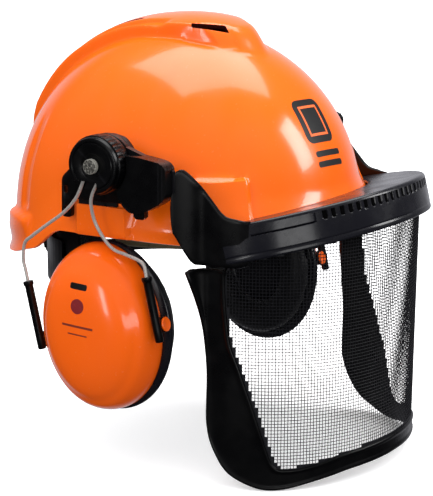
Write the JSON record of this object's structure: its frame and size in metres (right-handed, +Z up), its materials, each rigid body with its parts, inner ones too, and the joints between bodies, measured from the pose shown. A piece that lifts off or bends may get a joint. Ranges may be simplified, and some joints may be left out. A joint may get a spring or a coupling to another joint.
{
  "type": "forestry hard hat with ear muffs and mesh visor",
  "caption": "Orange hard hat with a lifting mesh face screen, swing-out ear muffs on spring wires, and a webbing harness with a ratchet headband.",
  "frame": {"origin": "middle of the helmet at the level of the side rim, on the plane of symmetry", "axes": "+Z up towards the crown, -Y towards the face and visor, +X towards the wearer's left"},
  "size_m": [0.279, 0.3026, 0.2999],
  "materials": {
    "shell_orange": "moulded, high gloss",
    "cup_orange": "moulded, satin gloss",
    "black_plastic": "fine grain, semi-matt",
    "black_gloss": "semi-gloss",
    "spring_steel": "drawn wire",
    "cream_cap": "satin",
    "webbing": "woven polyester",
    "sweatband": "soft perforated",
    "cushion_vinyl": "soft vinyl",
    "foam": "open-cell foam",
    "seal_rubber": "matt",
    "mesh_wire": "painted woven wire"
  },
  "bodies": {
    "helmet": {"helmet_shell": "shell_orange", "side_bracket_right": "black_plastic", "side_bracket_left": "black_plastic", "friction_washers": "cream_cap", "pivot_cap_right": "cream_cap", "pivot_cap_left": "cream_cap", "pivot_screws": "spring_steel", "headband": "black_plastic", "sweatband": "sweatband", "crown_strap_a": "webbing", "crown_strap_b": "webbing", "crown_pad": "foam", "strap_anchors": "black_plastic", "nape_housing": "black_plastic", "nape_cover": "black_plastic", "nape_pad": "foam"},
    "ratchet": {"ratchet_knob": "black_plastic", "ratchet_pinion": "black_plastic"},
    "tail_right": {"band_tail_right": "black_plastic"},
    "tail_left": {"band_tail_left": "black_plastic"},
    "turret_right": {"turret_right": "black_gloss", "turret_spring_right": "spring_steel"},
    "muff_wire_right": {"spring_wire_right": "spring_steel"},
    "muff_guide_right": {"wire_sleeve_front_right": "black_gloss", "wire_sleeve_rear_right": "black_gloss"},
    "muff_cup_right": {"cup_shell_right": "cup_orange", "cup_plate_right": "black_plastic", "ear_cushion_right": "cushion_vinyl", "cup_foam_right": "foam", "cup_studs_right": "cup_orange"},
    "turret_left": {"turret_left": "black_gloss", "turret_spring_left": "spring_steel"},
    "muff_wire_left": {"spring_wire_left": "spring_steel"},
    "muff_guide_left": {"wire_sleeve_front_left": "black_gloss", "wire_sleeve_rear_left": "black_gloss"},
    "muff_cup_left": {"cup_shell_left": "cup_orange", "cup_plate_left": "black_plastic", "ear_cushion_left": "cushion_vinyl", "cup_foam_left": "foam", "cup_studs_left": "cup_orange"},
    "visor_arm_right": {"visor_arm_right": "black_plastic"},
    "release_right": {"arm_release_right": "black_plastic"},
    "visor_arm_left": {"visor_arm_left": "black_plastic"},
    "release_left": {"arm_release_left": "black_plastic"},
    "visor": {"visor_carrier": "black_gloss", "peak_seal": "seal_rubber", "screen_frame": "black_gloss", "screen_mesh": "mesh_wire", "screen_clips": "black_plastic"}
  },
  "joints": [
    {"name": "size_ratchet", "type": "hinge", "parent": "helmet", "child": "ratchet", "pos_m": [0, 0.105, -0.03], "axis": [0, 1, 0], "range_deg": [-80, 80]},
    {"name": "tail_right_travel", "type": "hinge", "parent": "helmet", "child": "tail_right", "pos_m": [0, 0.022, -0.0194], "axis": [0, 0, -1], "range_deg": [-6.1, 6.1]},
    {"name": "tail_left_travel", "type": "hinge", "parent": "helmet", "child": "tail_left", "pos_m": [0, 0.022, -0.0406], "axis": [0, 0, 1], "range_deg": [-6.1, 6.1]},
    {"name": "turret_turn_right", "type": "hinge", "parent": "helmet", "child": "turret_right", "pos_m": [-0.128, -0.01, 0.0547], "axis": [1, 0, 0], "range_deg": [-7, 8]},
    {"name": "muff_swing_right", "type": "hinge", "parent": "turret_right", "child": "muff_wire_right", "pos_m": [-0.129, -0.006, 0.047], "axis": [0, 1, 0], "range_deg": [0, 35]},
    {"name": "muff_height_right", "type": "slide", "parent": "muff_wire_right", "child": "muff_guide_right", "axis": [0, -0.2283, -0.9736], "range_m": [0, 0.026]},
    {"name": "cup_tilt_right", "type": "hinge", "parent": "muff_guide_right", "child": "muff_cup_right", "pos_m": [-0.112, -0.0042, -0.0605], "axis": [0, 0.9736, -0.2283], "range_deg": [-12, 5]},
    {"name": "turret_turn_left", "type": "hinge", "parent": "helmet", "child": "turret_left", "pos_m": [0.128, -0.01, 0.0547], "axis": [1, 0, 0], "range_deg": [-7, 8]},
    {"name": "muff_swing_left", "type": "hinge", "parent": "turret_left", "child": "muff_wire_left", "pos_m": [0.129, -0.006, 0.047], "axis": [0, -1, 0], "range_deg": [0, 35]},
    {"name": "muff_height_left", "type": "slide", "parent": "muff_wire_left", "child": "muff_guide_left", "axis": [0, -0.2283, -0.9736], "range_m": [0, 0.026]},
    {"name": "cup_tilt_left", "type": "hinge", "parent": "muff_guide_left", "child": "muff_cup_left", "pos_m": [0.112, -0.0042, -0.0605], "axis": [0, -0.9736, 0.2283], "range_deg": [-12, 5]},
    {"name": "visor_lift", "type": "hinge", "parent": "helmet", "child": "visor_arm_right", "pos_m": [-0.117, -0.01, 0.0547], "axis": [-1, 0, 0], "range_deg": [0, 85]},
    {"name": "visor_lift_left", "type": "hinge", "parent": "helmet", "child": "visor_arm_left", "pos_m": [0.117, -0.01, 0.0547], "axis": [-1, 0, 0], "range_deg": [0, 85]},
    {"name": "visor_reach", "type": "slide", "parent": "visor_arm_right", "child": "visor", "axis": [0, -1, 0], "range_m": [0, 0.012]},
    {"name": "release_press_right", "type": "slide", "parent": "visor_arm_right", "child": "release_right", "axis": [0, 0, 1], "range_m": [0, 0.002]},
    {"name": "release_press_left", "type": "slide", "parent": "visor_arm_left", "child": "release_left", "axis": [0, 0, 1], "range_m": [0, 0.002]}
  ],
  "couplings": [
    {"joint": "tail_right_travel", "follows": "size_ratchet", "ratio": 0.075},
    {"joint": "tail_left_travel", "follows": "size_ratchet", "ratio": 0.075},
    {"joint": "visor_lift_left", "follows": "visor_lift", "ratio": 1}
  ]
}
